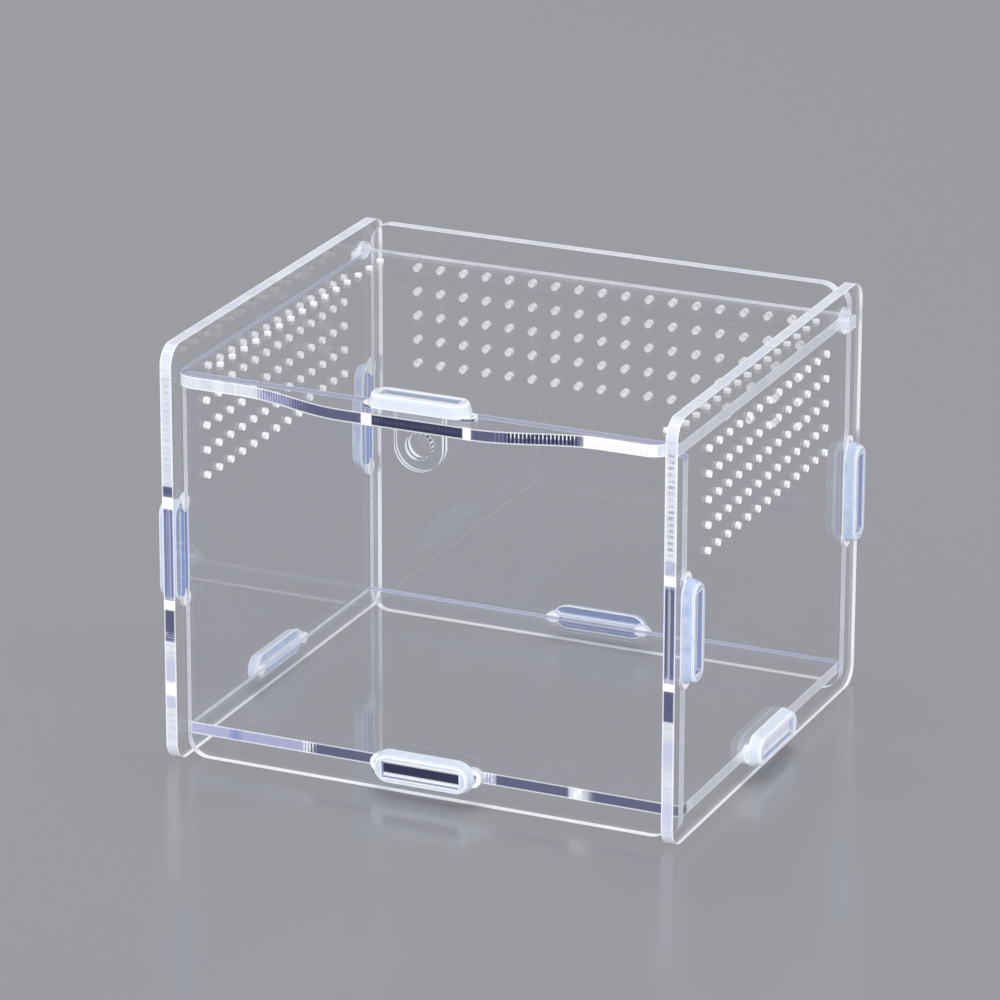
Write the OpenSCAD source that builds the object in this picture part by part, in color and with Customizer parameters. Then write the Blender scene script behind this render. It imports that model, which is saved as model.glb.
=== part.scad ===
// Clear keeper box for small pets: five laser-cut acrylic panels pushed together with moulded snap
// clips, a hinged lid with a finger lip, and a tab under the lid with a hole for a small padlock.
// The front looks along -Y, +X is to the right, and the origin is on the ground under the middle
// of the bounding box. All sizes are in millimetres.

/* [Box] */
// Height of the side panels and of the back panel
box_h = 104.5; // [100:0.5:130]
// Depth of the side panels, from front edge to rear edge
side_d = 117; // [110:0.5:150]
// Clear width between the two side panels
inner_w = 125; // [120:0.5:160]
// Thickness of every acrylic sheet
sheet_t = 3; // [2.8:0.1:3.2]
// Corner radius of the panels
corner_r = 5; // [3:0.5:6]
// How far the front panel stands behind the front edges of the side panels
front_inset = 5.6; // [4:0.1:8]
// How far the back panel stands before the rear edges of the side panels
back_inset = 5; // [4:0.1:8]
// Gap between the front panel's top edge and the lid
front_gap = 0.9; // [0.3:0.1:2]
// Height of the floor panel's underside above the ground
floor_z = 5.1; // [5:0.1:8]
// Play between a panel and the one that it stands against
panel_gap = 0.05; // [0.02:0.01:0.1]

/* [Lid] */
// Distance from the side panels' top edges down to the lid's underside
lid_down = 9.4; // [8.5:0.1:9.5]
// Play between the lid and each side panel
lid_side_gap = 0.3; // [0.2:0.05:0.6]
// Play between the lid's rear edge and the back panel
lid_rear_gap = 0.55; // [0.5:0.05:0.8]
// How far the lid's straight front edge stands behind the side panels' front edges
lid_front = 0.5; // [0:0.1:2]
// Radius of the lid's front corners
lid_corner_r = 4.7; // [3:0.1:6]
// How far the finger lip stands out in front of the side panels
lip_out = 6; // [4:0.5:8]
// Half the width of the lip where it leaves the straight front edge
lip_root = 46; // [40:1:50]
// Half the width of the straight stretch at the lip's front
lip_flat = 16; // [10:1:24]
// How far the lip and the lock stand to the right of the middle
lip_shift = 0.8; // [-3:0.1:3]
// Width of each ear that the lid turns on
ear_w = 4.5; // [4:0.1:4.6]
// How far each ear stands out through its side panel
ear_out = 1.7; // [0.5:0.1:2.5]
// Distance from the back panel to the axis that the lid turns about
pivot_inset = 3.1; // [3:0.1:3.4]
// Diameter of the round hole that each ear turns in
pivot_d = 6.6; // [6.6:0.1:7]
// How far the middle of that hole is above the axis, because the ear rests low in it
pivot_rise = 0.5; // [0.3:0.05:0.5]

/* [Lock tab] */
// Width of the tab that hangs below the lid
tab_w = 12.2; // [11:0.1:14]
// Diameter of the hole for the padlock
tab_hole_d = 6.6; // [5:0.1:7]
// Distance from the lid's underside down to the middle of that hole
tab_drop = 5.9; // [5:0.1:9]
// Distance from the side panels' front edges back to the tab's middle plane
tab_set = 1.8; // [1.5:0.1:2.4]

/* [Clips] */
// Length of the clip's flange
clip_l = 25.5; // [25:0.1:27]
// Width of the clip's flange
clip_w = 8.2; // [7.8:0.1:8.6]
// Height of the flange above the panel
clip_h = 3; // [2.6:0.1:3.4]
// Width of the flange's flat top, between its sloping sides
clip_top_w = 6.2; // [6:0.1:6.8]
// Height of the upright edge below those sides
clip_edge_h = 0.5; // [0.3:0.1:0.8]
// Size of the bevel between each sloping side and the flat top
clip_bevel = 0.4; // [0.2:0.1:0.5]
// Width of the recess in the flange's top, round the tenon
recess_w = 4.2; // [4:0.1:5]
// Depth of that recess
recess_depth = 1.4; // [1:0.1:1.6]
// Length over the two snap loops
loop_span = 28.6; // [28.4:0.1:30]
// Outer diameter of a snap loop
loop_d = 4.6; // [4.6:0.1:4.8]
// Diameter of the hole in a snap loop
loop_hole_d = 2.6; // [2:0.1:2.7]
// Play between a snap loop and the round end of its slot
slot_gap = 0.05; // [0.02:0.01:0.1]
// Play between a tenon and the slot and clip that it goes through
tenon_gap = 0.05; // [0.02:0.01:0.1]
// Width of every tenon
tenon_w = 20; // [18:0.1:20.2]
// How far a tenon stands out beyond the panel that it goes through
tenon_out = 1.8; // [1.4:0.1:2]
// Height of the four upright clips' middle above the ground
upright_clip_z = 52; // [45:0.5:60]

/* [Vent holes] */
// Diameter of a vent hole
vent_d = 1.8; // [1.5:0.1:3]
// Distance from the side panels' top edges down to the walls' top row of vents
vent_down = 12.5; // [12:0.1:14.5]
// Distance from row to row in the walls
row_pitch = 6.25; // [5.5:0.05:6.5]
// Number of rows in each wall
vent_rows = 5; // [1:1:5]
// Distance from column to column in the side panels
side_pitch = 6.2; // [5:0.05:6.3]
// Number of columns in each side panel
side_cols = 13; // [3:1:13]
// Distance from a side panel's front edge to its first column
side_first = 20.2; // [18:0.1:22]
// Distance from column to column in the back panel
back_pitch = 6.25; // [5:0.05:6.3]
// Number of columns in the back panel
back_cols = 17; // [3:1:17]
// How far the lid's two rows of vents, one along each side, stand in from its side edges
lid_row_in = 5.4; // [4:0.1:8]
// Distance from hole to hole in each of those rows
lid_pitch = 6.3; // [5:0.05:8]
// Distance from the lid's tip back to the first hole of each row
lid_vent_first = 18.6; // [16:0.2:20]
// Least distance from the last hole of each row to the lid's rear edge
lid_vent_last = 7; // [6:0.1:12]

/* [Hidden] */
$fn = 48;
CUT = 1;

// Places along Y, from the front to the back
side_front = -(side_d - lip_out) / 2;
front_face = side_front + front_inset;
front_back = front_face + sheet_t;
rear_face = side_front + side_d - back_inset;
rear_front = rear_face - sheet_t;
floor_d = rear_front - front_back;
floor_mid = (front_back + rear_front) / 2;
lid_front_y = side_front + lid_front;
lid_rear_y = rear_front - lid_rear_gap;
lid_tip_y = side_front - lip_out;
tab_y = side_front + tab_set;

// Places along X and Z
lid_z = box_h - lid_down;
front_h = lid_z - front_gap;
vent_top = box_h - vent_down;
side_in = inner_w / 2;
side_out = side_in + sheet_t;
lid_side_x = side_in - lid_side_gap;
floor_mid_z = floor_z + sheet_t / 2;
lid_top_z = lid_z + sheet_t;

// The axis that the lid turns about, and the round holes round it
pivot_y = rear_front - pivot_inset;
pivot_z = lid_z + sheet_t / 2;

// Reach of a tenon from the inner face of the panel that it goes through
tenon_l = sheet_t + tenon_out;
loop_r = loop_d / 2;
loop_x = loop_span / 2 - loop_r;
slot_d = loop_d + 2 * slot_gap;
window_w = sheet_t + 2 * tenon_gap;
window_l = tenon_w + 2 * tenon_gap;
LIP_STEPS = 14;

// A sheet outline with four corner radii: lower left, lower right, upper right, upper left
module sheet_outline(w, h, radii) {
    corners = [[0, 0], [w, 0], [w, h], [0, h]];
    inward = [[1, 1], [-1, 1], [-1, -1], [1, -1]];
    difference() {
        square([w, h]);
        for (i = [0:3])
            if (radii[i] > 0)
                translate(corners[i])
                    difference() {
                        translate([inward[i].x < 0 ? -radii[i] : -CUT, inward[i].y < 0 ? -radii[i] : -CUT])
                            square([radii[i] + CUT, radii[i] + CUT]);
                        translate([inward[i].x * radii[i], inward[i].y * radii[i]])
                            circle(r = radii[i]);
                    }
    }
}

// The slot that a clip snaps into: straight round the tenon, with a wider round end for each loop
module slot_outline() {
    square([window_l, window_w], center = true);
    for (side = [-1, 1])
        translate([side * loop_x, 0])
            circle(d = slot_d);
}

// The slot's cutter, through a sheet whose outer face is at Z = 0
module slot_cut() {
    translate([0, 0, -sheet_t - CUT])
        linear_extrude(height = sheet_t + 2 * CUT)
            slot_outline();
}

// Half of the flange's cross-section: an upright edge, a sloping side and a bevel up to the flat top
module flange_half() {
    polygon([
        [0, 0], [clip_w / 2, 0], [clip_w / 2, clip_edge_h],
        [clip_top_w / 2 + clip_bevel, clip_h - clip_bevel], [clip_top_w / 2, clip_h], [0, clip_h]
    ]);
}

// The flange: the same cross-section drawn out between two round ends
module flange() {
    straight = clip_l - clip_w;
    rotate([90, 0, 90])
        linear_extrude(height = straight, center = true)
            union() {
                flange_half();
                mirror([1, 0])
                    flange_half();
            }
    for (side = [-1, 1])
        translate([side * straight / 2, 0, 0])
            rotate_extrude()
                flange_half();
}

// One snap loop: a springy ring as deep as the panel, which grips the slot's round end
module snap_loop() {
    translate([0, 0, -sheet_t])
        difference() {
            cylinder(d = loop_d, h = sheet_t);
            translate([0, 0, -CUT])
                cylinder(d = loop_hole_d, h = sheet_t + CUT);
        }
}

// A clip: its length is along X, and the panel's outer face is at Z = 0
module clip() {
    color("aliceblue")
        difference() {
            union() {
                flange();
                for (side = [-1, 1])
                    translate([side * loop_x, 0, 0])
                        snap_loop();
            }
            translate([-window_l / 2, -window_w / 2, -sheet_t - CUT])
                cube([window_l, window_w, sheet_t + clip_h + 2 * CUT]);
            translate([-window_l / 2, -recess_w / 2, clip_h - recess_depth])
                cube([window_l, recess_w, recess_depth + CUT]);
        }
}

// Where each clip sits. The same places cut the slots in the panels.
module on_right_upright(y) {
    translate([side_out, y, upright_clip_z])
        rotate([0, 90, 0])
            children();
}

module on_left_upright(y) {
    translate([-side_out, y, upright_clip_z])
        rotate([0, -90, 0])
            children();
}

module on_right_floor() {
    translate([side_out, floor_mid, floor_mid_z])
        rotate([0, 90, 0])
            rotate([0, 0, 90])
                children();
}

module on_left_floor() {
    translate([-side_out, floor_mid, floor_mid_z])
        rotate([0, -90, 0])
            rotate([0, 0, 90])
                children();
}

module on_front_floor() {
    translate([0, front_face, floor_mid_z])
        rotate([90, 0, 0])
            children();
}

module on_back_floor() {
    translate([0, rear_face, floor_mid_z])
        rotate([-90, 0, 0])
            children();
}

module on_lid() {
    translate([lip_shift, tab_y, lid_top_z])
        children();
}

// A grid of vent holes in a sheet's own plane, from its first column rightwards
module vent_grid(first, pitch, columns) {
    for (column = [0:columns - 1], row = [0:vent_rows - 1])
        translate([first + column * pitch, vent_top - row * row_pitch, -CUT])
            cylinder(d = vent_d, h = sheet_t + 2 * CUT);
}

// A side panel, from its inner face at X = x
module side_sheet(x) {
    translate([x, side_front, 0])
        rotate([90, 0, 90])
            difference() {
                linear_extrude(height = sheet_t)
                    sheet_outline(side_d, box_h, [corner_r, corner_r, corner_r, corner_r]);
                vent_grid(side_first, side_pitch, side_cols);
                translate([pivot_y - side_front, pivot_z + pivot_rise, -CUT])
                    cylinder(d = pivot_d, h = sheet_t + 2 * CUT);
            }
}

module right_side_panel() {
    color("lavender", 0.35)
        difference() {
            side_sheet(side_in);
            on_right_upright(front_face + sheet_t / 2)
                slot_cut();
            on_right_upright(rear_front + sheet_t / 2)
                slot_cut();
            on_right_floor()
                slot_cut();
        }
}

module left_side_panel() {
    color("lavender", 0.35)
        difference() {
            side_sheet(-side_out);
            on_left_upright(front_face + sheet_t / 2)
                slot_cut();
            on_left_upright(rear_front + sheet_t / 2)
                slot_cut();
            on_left_floor()
                slot_cut();
        }
}

// A bar as long as two tenons and the sheet between them
module tenon_bar(width) {
    square([width + 2 * tenon_l, tenon_w], center = true);
}

// A wall between the side panels, with a tenon at each side, from its rear face at Z = 0 forwards
module cross_sheet(h, radii) {
    wall_w = inner_w - 2 * panel_gap;
    linear_extrude(height = sheet_t)
        union() {
            translate([-wall_w / 2, 0])
                sheet_outline(wall_w, h, radii);
            translate([0, upright_clip_z])
                tenon_bar(inner_w);
        }
}

module front_panel() {
    color("lavender", 0.35)
        difference() {
            translate([0, front_back, 0])
                rotate([90, 0, 0])
                    cross_sheet(front_h, [corner_r, corner_r, 0, 0]);
            on_front_floor()
                slot_cut();
        }
}

module back_panel() {
    vents_w = (back_cols - 1) * back_pitch;
    color("lavender", 0.35)
        difference() {
            translate([0, rear_face, 0])
                rotate([90, 0, 0])
                    difference() {
                        cross_sheet(box_h, [corner_r, corner_r, corner_r, corner_r]);
                        vent_grid(-vents_w / 2, back_pitch, back_cols);
                    }
            on_back_floor()
                slot_cut();
        }
}

// The floor, with a tenon through each of the four walls
module floor_panel() {
    color("lavender", 0.35)
        translate([0, floor_mid, floor_z])
            linear_extrude(height = sheet_t)
                union() {
                    square([inner_w - 2 * panel_gap, floor_d - 2 * panel_gap], center = true);
                    tenon_bar(inner_w);
                    rotate(90)
                        tenon_bar(floor_d);
                }
}

// Points of the lip's flank: half a cosine wave from the straight front edge out to the lip's front
function flank(from_x, to_x) = [
    for (i = [0:LIP_STEPS])
        let (u = i / LIP_STEPS, wave = (1 - cos(180 * u)) / 2)
        [from_x + (to_x - from_x) * u, lid_front_y + (lid_tip_y - lid_front_y) * wave]
];

// The lid's finger lip, drawn from the straight front edge forwards
module lip_outline() {
    left = flank(lip_shift - lip_root, lip_shift - lip_flat);
    right = flank(lip_shift + lip_root, lip_shift + lip_flat);
    polygon(concat(
        [[lip_shift - lip_root, lid_front_y + CUT]],
        left,
        [for (i = [LIP_STEPS:-1:0]) right[i]],
        [[lip_shift + lip_root, lid_front_y + CUT]]
    ));
}

// The lid's vents: a row along each side, of as many holes as there is room for
module lid_vent_rows() {
    first_y = lid_tip_y + lid_vent_first;
    for (side = [-1, 1], y = [first_y:lid_pitch:lid_rear_y - lid_vent_last])
        translate([lip_shift + side * (lid_side_x - lid_row_in), y, lid_z - CUT])
            cylinder(d = vent_d, h = sheet_t + 2 * CUT);
}

// The lid: a plate between the side panels, with the lip in front and an ear at each rear corner
module lid() {
    ear_x = side_out + ear_out;
    color("lavender", 0.35)
        difference() {
            union() {
                translate([0, 0, lid_z])
                    linear_extrude(height = sheet_t)
                        union() {
                            translate([-lid_side_x, lid_front_y])
                                sheet_outline(
                                    2 * lid_side_x, lid_rear_y - lid_front_y,
                                    [lid_corner_r, lid_corner_r, 0, 0]
                                );
                            lip_outline();
                        }
                translate([-ear_x, pivot_y - ear_w / 2, lid_z])
                    cube([2 * ear_x, ear_w, sheet_t]);
            }
            on_lid()
                slot_cut();
            lid_vent_rows();
        }
}

// The lock tab: a head held in the lid's clip, and a round-ended tongue with a hole below it
module lock_tab() {
    hole_z = lid_z - tab_drop;
    color("lavender", 0.35)
        translate([lip_shift, tab_y + sheet_t / 2, 0])
            rotate([90, 0, 0])
                difference() {
                    union() {
                        translate([-tenon_w / 2, lid_z])
                            cube([tenon_w, tenon_l, sheet_t]);
                        translate([-tab_w / 2, hole_z])
                            cube([tab_w, tab_drop + CUT, sheet_t]);
                        translate([0, hole_z])
                            cylinder(d = tab_w, h = sheet_t);
                    }
                    translate([0, hole_z, -CUT])
                        cylinder(d = tab_hole_d, h = sheet_t + 2 * CUT);
                }
}

module lid_clip() {
    on_lid()
        clip();
}

module front_left_clip() {
    on_left_upright(front_face + sheet_t / 2)
        clip();
}

module front_right_clip() {
    on_right_upright(front_face + sheet_t / 2)
        clip();
}

module back_left_clip() {
    on_left_upright(rear_front + sheet_t / 2)
        clip();
}

module back_right_clip() {
    on_right_upright(rear_front + sheet_t / 2)
        clip();
}

module floor_front_clip() {
    on_front_floor()
        clip();
}

module floor_back_clip() {
    on_back_floor()
        clip();
}

module floor_left_clip() {
    on_left_floor()
        clip();
}

module floor_right_clip() {
    on_right_floor()
        clip();
}

left_side_panel();
right_side_panel();
front_panel();
back_panel();
floor_panel();
lid();
lock_tab();
lid_clip();
front_left_clip();
front_right_clip();
back_left_clip();
back_right_clip();
floor_front_clip();
floor_back_clip();
floor_left_clip();
floor_right_clip();
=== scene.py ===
# %% [markdown]
# # A clear keeper box of cut acrylic sheet
#
# The box stands on its side panels. Its walls and its floor hang together by tenons, and a
# moulded clip is pushed over each tenon. The CAD model already holds every sheet and every
# clip at its real size, so this lesson is about light and finish: how clear sheet, its
# laser-cut edges and frosted clips are told apart by nodes alone.

import math

import bpy
import numpy as np
from mathutils import Matrix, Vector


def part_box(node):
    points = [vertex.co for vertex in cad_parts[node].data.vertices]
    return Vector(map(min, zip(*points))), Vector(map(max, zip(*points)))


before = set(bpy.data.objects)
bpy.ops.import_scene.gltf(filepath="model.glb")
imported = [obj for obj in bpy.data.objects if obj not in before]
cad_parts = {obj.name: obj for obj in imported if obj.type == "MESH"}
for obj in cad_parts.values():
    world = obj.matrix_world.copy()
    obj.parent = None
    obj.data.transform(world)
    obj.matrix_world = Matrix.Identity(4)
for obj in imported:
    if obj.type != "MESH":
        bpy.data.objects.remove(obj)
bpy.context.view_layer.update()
MM = 0.001
print("nodes:", sorted(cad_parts))

# %% [markdown]
# ## The floor
#
# The object is shown on a plain pale floor. A single large disc does this from every side,
# because a wall would stand in the way when the camera looks from behind. The disc is a
# surface of two parameters, the radius and the angle, worked out as whole arrays. Its middle
# is one point, so the first ring is a fan of triangles. It lies a tenth of a millimetre under
# the box, because two faces at one height would flicker.

# %% A disc from whole arrays
FLOOR_RADIUS = 30.0
FLOOR_Z = -0.1 * MM
FLOOR_RINGS = 12
FLOOR_SPOKES = 96


def mesh_object(name, points, faces):
    """A new object at the origin, with these points in metres and these faces, in the scene."""
    mesh = bpy.data.meshes.new(name)
    mesh.from_pydata(points.tolist(), [], faces)
    mesh.update()
    made = bpy.data.objects.new(name, mesh)
    bpy.context.scene.collection.objects.link(made)
    return made


def disc(radius, rings, spokes, z):
    """Points of a disc: (r cos a, r sin a, z), where r grows with the square of the ring."""
    r = radius * (np.arange(1, rings + 1) / rings) ** 2
    a = np.arange(spokes) * 2 * math.pi / spokes
    ring = np.stack([np.outer(r, np.cos(a)), np.outer(r, np.sin(a)), np.full((rings, spokes), z)], -1)
    points = np.vstack([[[0.0, 0.0, z]], ring.reshape(-1, 3)])
    at = 1 + np.arange(rings * spokes).reshape(rings, spokes)
    after = np.roll(at, -1, axis=1)
    quads = np.stack([at[:-1], at[1:], after[1:], after[:-1]], -1).reshape(-1, 4)
    fan = np.stack([np.zeros(spokes, int), at[0], after[0]], -1)
    return points, fan.tolist() + quads.tolist()


floor = mesh_object("studio_floor", *disc(FLOOR_RADIUS, FLOOR_RINGS, FLOOR_SPOKES, FLOOR_Z))
print("floor faces:", len(floor.data.polygons))

# %% [markdown]
# ## A few helpers for nodes
#
# Every finish here is a small graph of nodes. A few helpers keep the graphs short: they add a
# node and fill its sockets, do sums, blend two colours or numbers, fade from one number to
# another, and make noise. A socket is filled either with a plain value or with a link, and the
# helper tells them apart.


# %% Node helpers
def fill(tree, socket, value):
    """Puts a plain value in a socket, or links another node's output to it."""
    if isinstance(value, bpy.types.NodeSocket):
        tree.links.new(value, socket)
    else:
        socket.default_value = value


def add(tree, kind, sockets=None, **settings):
    """A new node of this kind, with its settings set and its sockets filled."""
    made = tree.nodes.new(kind)
    for key, value in settings.items():
        setattr(made, key, value)
    for key, value in (sockets or {}).items():
        fill(tree, made.inputs[key], value)
    return made


def math_node(tree, operation, *values, clamp=False):
    """The output of a Math node, such as the sum or the larger of two values."""
    made = add(tree, "ShaderNodeMath", operation=operation, use_clamp=clamp)
    for socket, value in zip(made.inputs, values):
        fill(tree, socket, value)
    return made.outputs[0]


# %% Helpers that blend and fade
def blend_colour(tree, factor, low, high):
    """The colour that goes from low to high as factor goes from 0 to 1."""
    made = add(tree, "ShaderNodeMix", {"Factor": factor}, data_type="RGBA")
    fill(tree, made.inputs[6], low)
    fill(tree, made.inputs[7], high)
    return made.outputs[2]


def blend_value(tree, factor, low, high):
    """The number that goes from low to high as factor goes from 0 to 1."""
    made = add(tree, "ShaderNodeMix", {"Factor": factor}, data_type="FLOAT")
    fill(tree, made.inputs[2], low)
    fill(tree, made.inputs[3], high)
    return made.outputs[0]


def ramp(tree, value, start, end, low=0.0, high=1.0):
    """A smooth step: low before start, high after end."""
    sockets = {"Value": value, "From Min": start, "From Max": end, "To Min": low, "To Max": high}
    return add(tree, "ShaderNodeMapRange", sockets, interpolation_type="SMOOTHSTEP").outputs[0]


# %% Helpers for noise and for a new material
def noise(tree, vector, scale, detail=2.0):
    """A cloudy number round 0.5, with scale clouds in a metre."""
    sockets = {"Vector": vector, "Scale": scale, "Detail": detail}
    return add(tree, "ShaderNodeTexNoise", sockets).outputs[0]


def new_finish(name):
    """An empty material: (material, its node tree, its output node)."""
    finish = bpy.data.materials.new(name)
    finish.use_nodes = True
    tree = finish.node_tree
    tree.nodes.clear()
    return finish, tree, tree.nodes.new("ShaderNodeOutputMaterial")


# %% The floor's finish
FLOOR_GREY = (0.300, 0.300, 0.312, 1.0)
FLOOR_ROUGH = 0.16

floor_finish, tree, out = new_finish("studio_floor_matt")
shader = add(tree, "ShaderNodeBsdfPrincipled", {"Base Color": FLOOR_GREY, "Roughness": FLOOR_ROUGH})
tree.links.new(shader.outputs[0], out.inputs[0])
floor.data.materials.append(floor_finish)
print("floor grey:", FLOOR_GREY[:3])

# %% [markdown]
# ## The camera
#
# The photograph's camera was worked out from the sheet edges: about forty measured points
# were fitted, with the 3 mm of the sheet as the yardstick. It stands about 1.4 m away with a
# long lens, turned 24 degrees to the right side and looking 20 degrees down.

# %% The camera of the photograph
CAMERA_AT = (0.536972, -1.209604, 0.536476)
CAMERA_LENS = 211.225
CAMERA_SENSOR = 36.0
CAMERA_NEAR = 0.05
CAMERA_FAR = 100.0
CAMERA_YAW = math.radians(24.0606)
CAMERA_PITCH = math.radians(19.8764)
CAMERA_ROLL = math.radians(0.1294)

camera = bpy.data.objects.new("camera", bpy.data.cameras.new("camera"))
bpy.context.scene.collection.objects.link(camera)
camera.data.lens = CAMERA_LENS
camera.data.sensor_width = CAMERA_SENSOR
camera.data.clip_start = CAMERA_NEAR
camera.data.clip_end = CAMERA_FAR
turn = Matrix.Rotation(CAMERA_YAW, 4, "Z") @ Matrix.Rotation(math.pi / 2 - CAMERA_PITCH, 4, "X")
turn = turn @ Matrix.Rotation(CAMERA_ROLL, 4, "Z")
camera.matrix_world = Matrix.Translation(CAMERA_AT) @ turn
bpy.context.scene.camera = camera
print("camera at", CAMERA_AT)

# %% [markdown]
# ## The light
#
# Clear sheet has no colour of its own: what is seen of it is its cut edges and what it
# mirrors. One large soft lamp overhead lights every edge that faces up. Low strips in front
# and at the sides light the upright edges and hardly touch the floor. No face mirrors the
# lamps and no sheet shows them, so the faces stay empty from every side. The world fills in
# evenly, and shows the floor's grey to the camera, in mirrored light and through the sheets.

# %% Show each colour as it is written
bpy.context.scene.view_settings.view_transform = "Standard"
print("view:", bpy.context.scene.view_settings.view_transform)

# %% Where the lamps stand
# Each lamp is (place in metres, width, height, watts, colour).
TARGET = (0.0, 0.0, 0.05)
LAMPS = {
    "lamp_overhead": ((-0.3, 0.5, 2.3), 1.8, 1.8, 32.0, (0.98, 0.99, 1.0)),
    "lamp_front": ((0.25, -2.6, 0.30), 1.4, 0.45, 50.0, (0.98, 0.99, 1.0)),
    "lamp_right": ((2.5, 0.3, 0.35), 1.4, 0.5, 34.0, (0.97, 0.985, 1.0)),
    "lamp_left": ((-2.4, -0.2, 0.6), 1.2, 0.8, 20.0, (0.97, 0.985, 1.0)),
}
print("power of all lamps in watts:", sum(settings[3] for settings in LAMPS.values()))


# %% Soft lamps
def soft_lamp(name, at, width, height, power, colour):
    """A lamp of this width and height at this place, turned so that it faces the object.

    Glossy faces don't mirror it, and it isn't seen through clear ones, so clear sheet stays clear
    and the floor has no bright pool.
    """
    lamp = bpy.data.lights.new(name, "AREA")
    lamp.shape = "RECTANGLE"
    lamp.size = width
    lamp.size_y = height
    lamp.energy = power
    lamp.color = colour
    made = bpy.data.objects.new(name, lamp)
    bpy.context.scene.collection.objects.link(made)
    made.location = at
    made.visible_glossy = False
    made.visible_transmission = False
    aim = np.array(TARGET) - np.array(at)
    made.rotation_euler = (math.acos(-aim[2] / np.linalg.norm(aim)), 0, math.atan2(-aim[0], aim[1]))
    return made


lamps = [soft_lamp(name, *settings) for name, settings in LAMPS.items()]
print("lamps:", [(lamp.name, lamp.data.energy) for lamp in lamps])

# %% The world: an even fill, and the floor's grey beyond the floor
WORLD_FILL = (0.90, 0.93, 1.0, 1.0)
WORLD_STRENGTH = 0.45
BACKDROP_GREY = (0.36, 0.36, 0.375, 1.0)
BACKDROP_STRENGTH = 1.0

world = bpy.data.worlds.new("studio")
bpy.context.scene.world = world
world.use_nodes = True
tree = world.node_tree
tree.nodes.clear()
rays = add(tree, "ShaderNodeLightPath").outputs
seen = math_node(tree, "MAXIMUM", rays["Is Camera Ray"], rays["Is Transmission Ray"])
seen = math_node(tree, "MAXIMUM", seen, rays["Is Glossy Ray"])
fill_light = add(tree, "ShaderNodeBackground", {"Color": WORLD_FILL, "Strength": WORLD_STRENGTH})
backdrop = add(tree, "ShaderNodeBackground", {"Color": BACKDROP_GREY, "Strength": BACKDROP_STRENGTH})
both = add(tree, "ShaderNodeMixShader", {0: seen, 1: fill_light.outputs[0], 2: backdrop.outputs[0]})
out = add(tree, "ShaderNodeOutputWorld", {"Surface": both.outputs[0]})
print("world fill:", WORLD_STRENGTH)

# %% [markdown]
# ## The cut sheet
#
# A sheet of clear cast acrylic is polished on its two faces, and frosted wherever the laser
# went through it: round its outline, in its slots and in its vents. On the real box each cut
# edge shows as two bright lines, its corners, with a pale band between them, and the finish
# paints these two lines white, as painted highlights. A sheet could be split into two materials
# by face, but the nodes can tell the faces apart by themselves: the object-space normal of a
# polished face points along the sheet's thin axis, and that of a cut edge points across it. The
# two painted highlights are found the same way, by how far a point is from the middle of the
# sheet's thickness.
#
# Lamps have to reach what is behind the sheet. A refracting face would stop their rays, so
# for shadow rays and for light on its way from a dull surface the face is Transparent.

# %% Sizes, scales and colours of the sheet's finish
ACRYLIC_IOR = 1.49
CLEAR_TINT = (0.985, 0.988, 1.0, 1.0)
# The white of the painted highlights at the two corners of a cut edge.
EDGE_HIGHLIGHT = (1.0, 1.0, 1.0, 1.0)
LINE_START = 1.1 * MM
LINE_END = 1.23 * MM
LINE_CLEAR = 0.03
LINE_OVER_BAND = 0.65
SHADE_THROUGH_EDGE = 0.8
FACE_NORMAL = 0.7
STREAK_SCALE = 1900.0
STREAK_DETAIL = 2.0
STREAK_SQUEEZE = 0.06
STREAK_RANGE = (0.35, 0.75)
STREAK_BUMP = 0.35
STREAK_ROUGHNESS = 0.2
DRIFT_SCALE = 85.0
DRIFT_DETAIL = 1.0
DRIFT_RANGE = (0.40, 0.66)
UNEVEN_SCALE = 520.0
UNEVEN_RANGE = (0.38, 0.58)
UNEVEN_LEAST = 0.35
GRAIN_DEPTH = 0.02 * MM
print("bright lines from", round(LINE_START / MM, 2), "mm off the sheet's middle")

# %% [markdown]
# ## The looks of a cut edge
#
# The band between the two lines isn't the same all along an edge, and each stretch is painted
# with the light and shade it shows. The white look is a painted highlight, where much light
# gathers in the edge; the mist, lavender, periwinkle, violet and navy looks are painted shade,
# darker where less light reaches the edge. Where a clip lies behind the edge it is glassy, and
# in places the beam's pulses left a row of fine ticks. Each of these looks is a colour, a share
# of clear glass and a roughness. A stretch of edge is a box round it, and the look is blended
# in inside that box.

# %% The looks that a cut edge has
# Each look is (colour, share of clear glass, roughness).
# white is a painted highlight; mist, lavender, periwinkle, violet and navy are painted shade.
EDGE_LOOKS = {
    "frosted": ((0.82, 0.82, 0.88, 1.0), 0.06, 0.40),
    "white": ((1.0, 1.0, 1.0, 1.0), 0.0, 0.40),
    "mist": ((0.60, 0.61, 0.77, 1.0), 0.10, 0.35),
    "lavender": ((0.46, 0.46, 0.68, 1.0), 0.12, 0.30),
    "violet": ((0.13, 0.13, 0.24, 1.0), 0.22, 0.12),
    "periwinkle": ((0.24, 0.30, 0.58, 1.0), 0.12, 0.20),
    "navy": ((0.035, 0.035, 0.09, 1.0), 0.15, 0.12),
    "scored": ((0.12, 0.12, 0.20, 1.0), 0.10, 0.30),
    "glassy": ((0.42, 0.42, 0.56, 1.0), 0.85, 0.05),
}
FROSTED_DRIFT = (0.72, 0.73, 0.82, 1.0)
FROSTED_STREAK = (0.66, 0.66, 0.74, 1.0)
print("looks of a cut edge:", ", ".join(EDGE_LOOKS))


# %% Helpers that find a place on a sheet
def window(tree, coordinate, start, end, soft):
    """1 where the coordinate is between start and end, else 0, with shoulders 2 soft wide."""
    rising = ramp(tree, coordinate, (start - soft) * MM, (start + soft) * MM)
    falling = ramp(tree, coordinate, (end - soft) * MM, (end + soft) * MM)
    return math_node(tree, "SUBTRACT", rising, falling)


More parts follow.
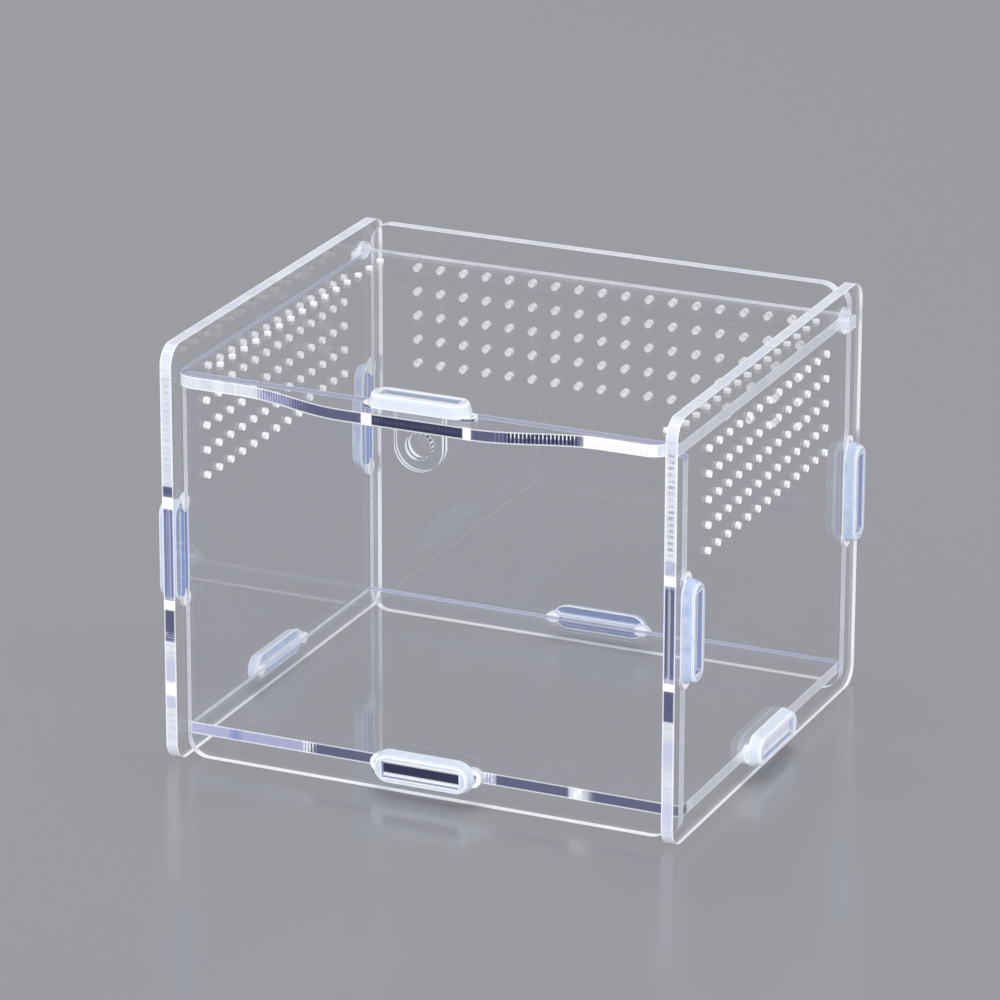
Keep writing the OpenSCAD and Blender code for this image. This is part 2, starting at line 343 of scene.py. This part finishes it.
def inside(tree, place, box):
    """1 inside a box, else 0. A box is a list of (axis, start, end, soft), in mm."""
    share = 1.0
    for axis, start, end, soft in box:
        share = math_node(tree, "MULTIPLY", share, window(tree, place[axis], start, end, soft))
    return share


def run_along(tree, place, follow):
    """How far a point is along an axis, or round a hole.

    For a hole, follow is (first axis, its middle, second axis, its middle, radius), in mm, and
    the run is the angle times the radius.
    """
    if isinstance(follow, int):
        return place[follow]
    first, first_middle, second, second_middle, radius = follow
    across = math_node(tree, "SUBTRACT", place[first], first_middle * MM)
    up = math_node(tree, "SUBTRACT", place[second], second_middle * MM)
    return math_node(tree, "MULTIPLY", math_node(tree, "ARCTAN2", up, across), radius * MM)


# %% Rows of fine ticks
TICK_SOFT = 0.25


def ticks(tree, run, pitch, duty):
    """Fine lines across an edge: the sine of the run, cut off so that lines take duty of a pitch."""
    wave = math_node(tree, "SINE", math_node(tree, "MULTIPLY", run, 2 * math.pi / pitch))
    level = math.cos(math.pi * duty)
    return ramp(tree, wave, level - TICK_SOFT, level + TICK_SOFT)


# %% Let the light of the lamps through
def let_light_through(tree, out, shader, share):
    """Shows the shader, but lets this share of the light of lamps and dull surfaces pass by it."""
    rays = add(tree, "ShaderNodeLightPath").outputs
    lamp_ray = math_node(tree, "MAXIMUM", rays["Is Shadow Ray"], rays["Is Diffuse Ray"])
    through = math_node(tree, "MULTIPLY", lamp_ray, share)
    passing = add(tree, "ShaderNodeBsdfTransparent", {"Color": (1.0, 1.0, 1.0, 1.0)})
    both = add(tree, "ShaderNodeMixShader", {0: through, 1: shader.outputs[0], 2: passing.outputs[0]})
    tree.links.new(both.outputs[0], out.inputs[0])


# %% The finish of a cut sheet
def sheet_finish(name, axis, middle, stretches, tick_stretches):
    """Clear acrylic whose thin axis is 0, 1 or 2 and whose mid-plane is at middle, in metres.

    A stretch is (look, box). A tick stretch is (look of the ticks, what they follow, pitch in mm,
    share of the pitch that a tick takes, strength, box), and its ticks lie on whatever look the
    edge has there.
    """
    finish, tree, out = new_finish(name)
    where = add(tree, "ShaderNodeTexCoord").outputs
    place = add(tree, "ShaderNodeSeparateXYZ", {0: where["Object"]}).outputs
    normal = add(tree, "ShaderNodeSeparateXYZ", {0: where["Normal"]}).outputs[axis]
    face = math_node(tree, "GREATER_THAN", math_node(tree, "ABSOLUTE", normal), FACE_NORMAL)
    cut = math_node(tree, "SUBTRACT", 1.0, face)
    off_middle = math_node(tree, "ABSOLUTE", math_node(tree, "SUBTRACT", place[axis], middle))
    line = ramp(tree, off_middle, LINE_START, LINE_END)

    squeeze = [1.0, 1.0, 1.0]
    squeeze[axis] = STREAK_SQUEEZE
    lanes = add(tree, "ShaderNodeMapping", {"Vector": where["Object"], "Scale": squeeze}).outputs[0]
    streak = noise(tree, lanes, STREAK_SCALE, STREAK_DETAIL)
    drift = ramp(tree, noise(tree, where["Object"], DRIFT_SCALE, DRIFT_DETAIL), *DRIFT_RANGE)
    uneven = ramp(tree, noise(tree, where["Object"], UNEVEN_SCALE), *UNEVEN_RANGE, UNEVEN_LEAST, 1.0)

    frosted, clear, rough = EDGE_LOOKS["frosted"]
    bluish = blend_colour(tree, drift, frosted, FROSTED_DRIFT)
    band = blend_colour(tree, ramp(tree, streak, *STREAK_RANGE), bluish, FROSTED_STREAK)
    worked = [(look, inside(tree, place, box)) for look, box in stretches]
    for look, follow, pitch, duty, strength, box in tick_stretches:
        row = ticks(tree, run_along(tree, place, follow), pitch * MM, duty)
        row = math_node(tree, "MULTIPLY", row, math_node(tree, "MULTIPLY", uneven, strength))
        worked.append((look, math_node(tree, "MULTIPLY", row, inside(tree, place, box))))
    for look, share in worked:
        colour, look_clear, look_rough = EDGE_LOOKS[look]
        band = blend_colour(tree, share, band, colour)
        clear = blend_value(tree, share, clear, look_clear)
        rough = blend_value(tree, share, rough, look_rough)

    # Painted highlight: the two corner lines of a cut edge are made whiter than the band.
    highlight_colour = blend_colour(tree, LINE_OVER_BAND, band, EDGE_HIGHLIGHT)
    colour = blend_colour(tree, cut, CLEAR_TINT, blend_colour(tree, line, band, highlight_colour))
    clearness = blend_value(tree, cut, 1.0, blend_value(tree, line, clear, LINE_CLEAR))
    grain = math_node(tree, "MULTIPLY", math_node(tree, "SUBTRACT", streak, 0.5), STREAK_ROUGHNESS)
    roughness = blend_value(tree, cut, 0.0, math_node(tree, "ADD", rough, grain, clamp=True))
    height = math_node(tree, "MULTIPLY", streak, cut)
    bump_sockets = {"Height": height, "Strength": STREAK_BUMP, "Distance": GRAIN_DEPTH}
    bump = add(tree, "ShaderNodeBump", bump_sockets)

    sockets = {
        "Base Color": colour,
        "Roughness": roughness,
        "Transmission Weight": clearness,
        "IOR": ACRYLIC_IOR,
        "Normal": bump.outputs[0],
    }
    acrylic = add(tree, "ShaderNodeBsdfPrincipled", sockets)
    let_light_through(tree, out, acrylic, blend_value(tree, cut, 1.0, SHADE_THROUGH_EDGE))
    return finish


# %% [markdown]
# ## Where each look lies
#
# The photograph shows the front edges best, so these stretches follow it along them: the
# heights on the two side panels, and the widths on the lid and on the floor. The vents are
# painted white all round, as painted highlights. The walls of the slots are glassy between the
# two loops of a clip.

# %% Boxes that the stretches share
# A box is a list of (axis, start, end, soft), in mm, and a stretch is (look, box).
FRONT_EDGE = (1, -70.0, -51.0, 1.0)
FLOOR_FRONT = (1, -52.0, -45.0, 0.5)
SIDE_VENTS = [(1, -45.0, 46.0, 1.0), (2, 64.0, 94.0, 1.0)]
BACK_VENTS = [(0, -55.0, 55.0, 1.0), (2, 64.0, 94.0, 1.0)]
LEFT_LID_VENTS = [(0, -58.0, -53.0, 1.0), (1, -45.0, 47.0, 0.5)]
RIGHT_LID_VENTS = [(0, 55.0, 59.5, 1.0), (1, -45.0, 47.0, 0.5)]
FRONT_SLOT = [(1, -51.0, -46.0, 0.1), (2, 41.0, 63.0, 0.3)]
REAR_SLOT = [(1, 53.0, 57.0, 0.1), (2, 41.0, 63.0, 0.3)]
# The bottom and rear edges are painted white, as painted highlights.
BOTTOM = ("white", [(2, -1.0, 1.0, 0.5)])
REAR = ("white", [(1, 57.5, 63.0, 0.5)])
SIDE_TENONS = [("periwinkle", [(0, -70.0, -64.0, 0.3)]), ("periwinkle", [(0, 64.0, 70.0, 0.3)])]
TAB_HOLE_BOX = [(0, 0.3, 4.6, 0.3), (2, 85.4, 93.0, 0.1)]


def front(look, axis, start, end, soft=0.3):
    """A stretch of a front edge, between two places in mm along the given axis."""
    return look, [FRONT_EDGE, (axis, start, end, soft)]


def floor_front(look, start, end, soft=0.5):
    """A stretch of the floor's front edge, between two places in mm along X."""
    return look, [FLOOR_FRONT, (0, start, end, soft)]


# %% The stretches of each sheet, where a later one lies over an earlier one
# White stretches are painted highlights; mist, lavender, periwinkle, violet and navy stretches are
# painted shade.
STRETCHES = {
    "right_side_panel": [
        front("violet", 2, 31.7, 67.4), front("mist", 2, 67.4, 71.0),
        front("mist", 2, 20.0, 27.0, 1.5), front("mist", 2, 5.0, 12.0, 2.0),
        front("glassy", 2, 41.0, 65.0),
        front("white", 2, 64.9, 67.4, 0.2), front("white", 2, 39.2, 41.2, 0.2),
        ("violet", FRONT_SLOT), ("violet", REAR_SLOT), ("white", SIDE_VENTS), BOTTOM, REAR,
    ],
    "left_side_panel": [
        front("violet", 2, 31.0, 70.0), front("glassy", 2, 41.4, 64.4),
        front("white", 2, 64.4, 67.4, 0.2), front("white", 2, 38.9, 41.4, 0.2),
        front("mist", 2, 20.5, 26.5, 1.2), front("white", 2, 17.0, 20.5, 0.8),
        front("mist", 2, 14.0, 17.0, 0.8),
        ("periwinkle", FRONT_SLOT), ("periwinkle", REAR_SLOT), ("white", SIDE_VENTS), BOTTOM, REAR,
    ],
    "front_panel": [("lavender", [(2, 93.0, 96.0, 0.5)]), *SIDE_TENONS, BOTTOM],
    "back_panel": [("white", BACK_VENTS), *SIDE_TENONS, BOTTOM],
    "floor_panel": [
        floor_front("lavender", -62.5, -31.0), floor_front("periwinkle", -52.0, -49.5, 1.2),
        floor_front("violet", -31.0, 13.3), floor_front("violet", 17.3, 36.0),
        floor_front("violet", 41.0, 66.0, 2.0), floor_front("lavender", 13.3, 17.3),
        ("lavender", [(1, 52.0, 56.0, 0.5)]),
        ("navy", [(1, -55.0, -50.0, 0.2)]), ("navy", [(1, 57.0, 60.0, 0.2)]),
    ],
    "lid": [
        front("lavender", 0, -39.0, -28.0, 2.0), front("violet", 0, -31.0, 42.6, 3.0),
        front("navy", 0, 25.0, 41.0, 1.0), front("navy", 0, -8.0, 15.0),
        front("white", 0, -10.65, -8.0, 0.2), front("white", 0, 14.95, 17.0, 0.2),
        front("white", 0, 42.3, 60.0, 0.2),
        ("lavender", [(0, -64.0, -61.0, 0.5), (1, -55.0, 47.0, 1.0)]),
        ("white", LEFT_LID_VENTS), ("white", RIGHT_LID_VENTS),
    ],
    "lock_tab": [
        ("white", [(2, 80.0, 101.0, 0.5)]), ("violet", [(1, -54.0, -53.4, 0.1), (2, 80.0, 98.5, 0.3)]),
        ("violet", TAB_HOLE_BOX),
    ],
}
print("stretches:", {node: len(rows) for node, rows in STRETCHES.items()})

# %% The ticks of each sheet
# A row of ticks is (look, axis or hole that it follows, pitch in mm, share, strength, box).
TAB_HOLE_RADIUS = 3.3
TAB_HOLE_TICKS = 19
TAB_HOLE = (0, 0.8, 2, 89.2, TAB_HOLE_RADIUS)
TAB_HOLE_PITCH = 2 * math.pi * TAB_HOLE_RADIUS / TAB_HOLE_TICKS
RIGHT_MIDDLE = (0, 63.3, 64.7, 0.2)
LEFT_MIDDLE = (0, -64.7, -63.3, 0.2)
TICKS = {
    "right_side_panel": [
        ("scored", 2, 1.5, 0.55, 0.55, [FRONT_EDGE, (2, 71.5, 97.0, 1.0), RIGHT_MIDDLE]),
        ("scored", 2, 0.55, 0.5, 0.45, [FRONT_EDGE, (2, 67.6, 70.8, 0.2)]),
    ],
    "left_side_panel": [
        ("scored", 2, 1.5, 0.45, 0.16, [FRONT_EDGE, (2, 71.0, 96.0, 1.0), LEFT_MIDDLE]),
        ("lavender", 2, 0.6, 0.5, 1.0, [FRONT_EDGE, (2, 31.2, 33.5, 0.4)]),
    ],
    "lid": [
        ("white", 0, 0.87, 0.32, 0.85, [FRONT_EDGE, (0, 25.4, 40.9, 0.4), (2, 96.6, 98.0, 0.2)]),
        ("lavender", 0, 0.87, 0.32, 0.7, [FRONT_EDGE, (0, 25.4, 40.9, 0.4), (2, 95.0, 96.6, 0.2)]),
        ("lavender", 0, 0.87, 0.32, 0.3, [FRONT_EDGE, (0, 22.5, 25.4, 0.8)]),
        ("lavender", 0, 0.77, 0.4, 0.4, [FRONT_EDGE, (0, -32.0, -25.5, 2.0)]),
        ("violet", 0, 0.77, 0.45, 0.8, [FRONT_EDGE, (0, -40.0, -32.0, 1.0)]),
        ("lavender", 0, 0.8, 0.4, 0.1, [FRONT_EDGE, (0, -7.6, 14.6, 0.3), (2, 96.2, 97.4, 0.2)]),
        ("scored", 0, 0.8, 0.5, 0.2, [FRONT_EDGE, (0, 43.0, 60.0, 1.0), (2, 95.3, 96.8, 0.3)]),
    ],
    "floor_panel": [
        ("white", 0, 0.9, 0.4, 1.0, [FLOOR_FRONT, (0, 13.6, 17.2, 0.3)]),
        ("white", 0, 0.8, 0.4, 1.0, [FLOOR_FRONT, (0, -33.0, -29.5, 0.8)]),
        ("white", 0, 3.4, 0.6, 1.0, [FLOOR_FRONT, (0, 36.2, 40.6, 0.5)]),
    ],
    "lock_tab": [("white", TAB_HOLE, TAB_HOLE_PITCH, 0.5, 1.0, TAB_HOLE_BOX)],
}
print("rows of ticks:", {node: len(rows) for node, rows in TICKS.items()})

# %% Give each sheet its finish
SHEET_AXES = {
    "left_side_panel": 0,
    "right_side_panel": 0,
    "front_panel": 1,
    "back_panel": 1,
    "floor_panel": 2,
    "lid": 2,
    "lock_tab": 1,
}


def refinish(node, finish):
    """Puts this material in the material slots of a CAD node's object."""
    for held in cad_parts[node].material_slots:
        held.link = "OBJECT"
        held.material = finish


for node, axis in SHEET_AXES.items():
    low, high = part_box(node)
    middle = (low[axis] + high[axis]) / 2
    refinish(node, sheet_finish(node + "_acrylic", axis, middle, STRETCHES[node], TICKS.get(node, [])))
    print(node, "thin axis", "XYZ"[axis], "middle", round(middle / MM, 2), "mm")

# %% [markdown]
# ## The moulded clips
#
# The clips are moulded from a milky, slightly blue plastic that lets light through. Their
# corners catch the light and look white, their sloping sides are pale, and the recess and the
# underside are bluer, because less light reaches them. The finish paints this light and shade
# into the colour: the corners and the loops get a painted white highlight, the recess and the
# underside a painted bluer shade, and a clip that gets more light a paler painted tone. The
# nodes find the corners with a Bevel node: near a corner its rounded normal leaves the true
# one, so the angle between the two is a measure of how close the corner is. The other places
# are found by where they are on the clip.

# %% Colours and sizes of the clips' finish
CLIP_PALE = (0.62, 0.70, 0.84, 1.0)
CLIP_CLOUD = (0.46, 0.55, 0.76, 1.0)
# Painted light: the paler tone of a clip that gets more light.
CLIP_LIT_PALE = (0.82, 0.86, 0.91, 1.0)
# Painted shade: the bluer colour of a clip's recess.
CLIP_RECESS_SHADE = (0.40, 0.47, 0.74, 1.0)
# Painted shade: the darker, bluer colour of a clip's underside.
CLIP_UNDER_SHADE = (0.17, 0.21, 0.39, 1.0)
# Painted highlight: the white given to the clip's corners and loops.
CLIP_HIGHLIGHT = (1.0, 1.0, 1.0, 1.0)
RIM_REACH = 0.6 * MM
RIM_SAMPLES = 8
RIM_START = 0.006
RIM_END = 0.02
RIM_CLEARNESS = 0.03
CLIP_CLEARNESS = 0.18
CLIP_IOR = 1.5
SHADE_THROUGH_CLIP = 0.5
FLANGE_HEIGHT = 3.0 * MM
LOOP_REACH = 0.12 * MM
UNDER_RANGE = (-0.8, -0.5)
RECESS_HALF_WIDTH = 2.2
RECESS_HALF_LENGTH = 10.2
RECESS_SOFT = 0.05
CLOUD_SCALE = 420.0
CLOUD_DETAIL = 3.0
MOULD_SCALE = 3200.0
MOULD_DETAIL = 2.0
MOULD_BUMP = 0.25
NOISE_RANGE = (0.3, 0.7)
CLIP_ROUGH = (0.30, 0.44)
print("flange height in mm:", round(FLANGE_HEIGHT / MM, 2))


# %% The finish of a clip
def clip_finish(name, box, along, across, outward, sign, lit_share, lit_under):
    """Frosted, translucent plastic for a clip that lies in this box.

    Its length, its width and its height are along the axes along, across and outward, and sign
    says whether the flange stands on the positive or the negative side of the panel. The next
    setting says how much paler the clip is painted where more light falls on it, a painted lit
    tone, and lit_under how much light reaches its underside, which lightens the painted shade
    there.
    """
    finish, tree, out = new_finish(name)
    low, high = box
    middle = [(a + b) / 2 for a, b in zip(low, high)]
    top = high[outward] if sign > 0 else low[outward]
    where = add(tree, "ShaderNodeTexCoord").outputs
    place = add(tree, "ShaderNodeSeparateXYZ", {0: where["Object"]}).outputs
    normal = add(tree, "ShaderNodeSeparateXYZ", {0: where["Normal"]}).outputs
    true_normal = add(tree, "ShaderNodeNewGeometry").outputs["True Normal"]
    rounded = add(tree, "ShaderNodeBevel", {"Radius": RIM_REACH}, samples=RIM_SAMPLES).outputs[0]
    dot = add(tree, "ShaderNodeVectorMath", {0: rounded, 1: true_normal}, operation="DOT_PRODUCT")
    rim = ramp(tree, math_node(tree, "SUBTRACT", 1.0, dot.outputs["Value"]), RIM_START, RIM_END)

    height = math_node(tree, "MULTIPLY", math_node(tree, "SUBTRACT", place[outward], top), sign)
    facing = math_node(tree, "MULTIPLY", normal[outward], sign)
    under = ramp(tree, facing, *UNDER_RANGE, 1.0, 0.0)
    down_in = ramp(tree, height, -FLANGE_HEIGHT - LOOP_REACH, -FLANGE_HEIGHT, 1.0, 0.0)
    near_panel = ramp(tree, height, -FLANGE_HEIGHT, -FLANGE_HEIGHT + LOOP_REACH, 1.0, 0.0)
    loop_tops = math_node(tree, "MULTIPLY", near_panel, math_node(tree, "SUBTRACT", 1.0, under))
    loops = math_node(tree, "MAXIMUM", down_in, loop_tops)
    recess = 1.0
    for axis, half in ((across, RECESS_HALF_WIDTH), (along, RECESS_HALF_LENGTH)):
        centre = middle[axis] / MM
        within = window(tree, place[axis], centre - half, centre + half, RECESS_SOFT)
        recess = math_node(tree, "MULTIPLY", recess, within)

    cloud = ramp(tree, noise(tree, where["Object"], CLOUD_SCALE, CLOUD_DETAIL), *NOISE_RANGE)
    clouded = blend_colour(tree, cloud, CLIP_CLOUD, CLIP_PALE)
    # Painted light: a better lit clip is painted paler.
    colour = blend_colour(tree, lit_share, clouded, CLIP_LIT_PALE)
    # Painted shade on the underside, lightened by lit_under where more light reaches it.
    colour = blend_colour(tree, under, colour, blend_colour(tree, lit_under, CLIP_UNDER_SHADE, clouded))
    # Painted shade in the recess, paler on a clip that is painted as better lit.
    colour = blend_colour(tree, recess, colour, blend_colour(tree, lit_share, CLIP_RECESS_SHADE, CLIP_PALE))
    # Painted highlight: the corners and the loops are painted white.
    colour = blend_colour(tree, math_node(tree, "MAXIMUM", rim, loops), colour, CLIP_HIGHLIGHT)
    clearness = blend_value(tree, rim, CLIP_CLEARNESS, RIM_CLEARNESS)
    grain = noise(tree, where["Object"], MOULD_SCALE, MOULD_DETAIL)
    rough = ramp(tree, grain, *NOISE_RANGE, *CLIP_ROUGH)
    bump_sockets = {"Height": grain, "Strength": MOULD_BUMP, "Distance": GRAIN_DEPTH}
    bump = add(tree, "ShaderNodeBump", bump_sockets)

    sockets = {
        "Base Color": colour,
        "Roughness": rough,
        "Transmission Weight": clearness,
        "IOR": CLIP_IOR,
        "Normal": bump.outputs[0],
    }
    plastic = add(tree, "ShaderNodeBsdfPrincipled", sockets)
    let_light_through(tree, out, plastic, SHADE_THROUGH_CLIP)
    return finish


# %% Give each clip the finish
# Each clip is (along, across, outward, sign, how much paler it is painted where more light falls on
# it, how lit underneath).
CLIPS = {
    "lid_clip": (0, 1, 2, 1, 0.85, 0.0),
    "front_left_clip": (2, 1, 0, -1, 0.3, 0.5),
    "front_right_clip": (2, 1, 0, 1, 0.0, 0.0),
    "back_left_clip": (2, 1, 0, -1, 0.0, 0.6),
    "back_right_clip": (2, 1, 0, 1, 0.1, 0.0),
    "floor_front_clip": (0, 2, 1, -1, 0.5, 0.0),
    "floor_back_clip": (0, 2, 1, 1, 0.0, 0.15),
    "floor_left_clip": (1, 2, 0, -1, 0.6, 0.9),
    "floor_right_clip": (1, 2, 0, 1, 0.8, 0.3),
}
for node, settings in CLIPS.items():
    refinish(node, clip_finish(node + "_plastic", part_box(node), *settings))
print("clips:", len(CLIPS))

# %% [markdown]
# ## Light through many sheets
#
# A ray that reaches the far edges passes ten or more surfaces: the front, the floor, the
# back, and the lid. The renderer's usual limit would end it early and leave black there, so
# the limits are raised.

# %% Bounces
BOUNCES = 24
TRANSPARENT_BOUNCES = 32

bpy.context.scene.cycles.max_bounces = BOUNCES
bpy.context.scene.cycles.transmission_bounces = BOUNCES
bpy.context.scene.cycles.transparent_max_bounces = TRANSPARENT_BOUNCES
print("bounces:", BOUNCES, "and", TRANSPARENT_BOUNCES)
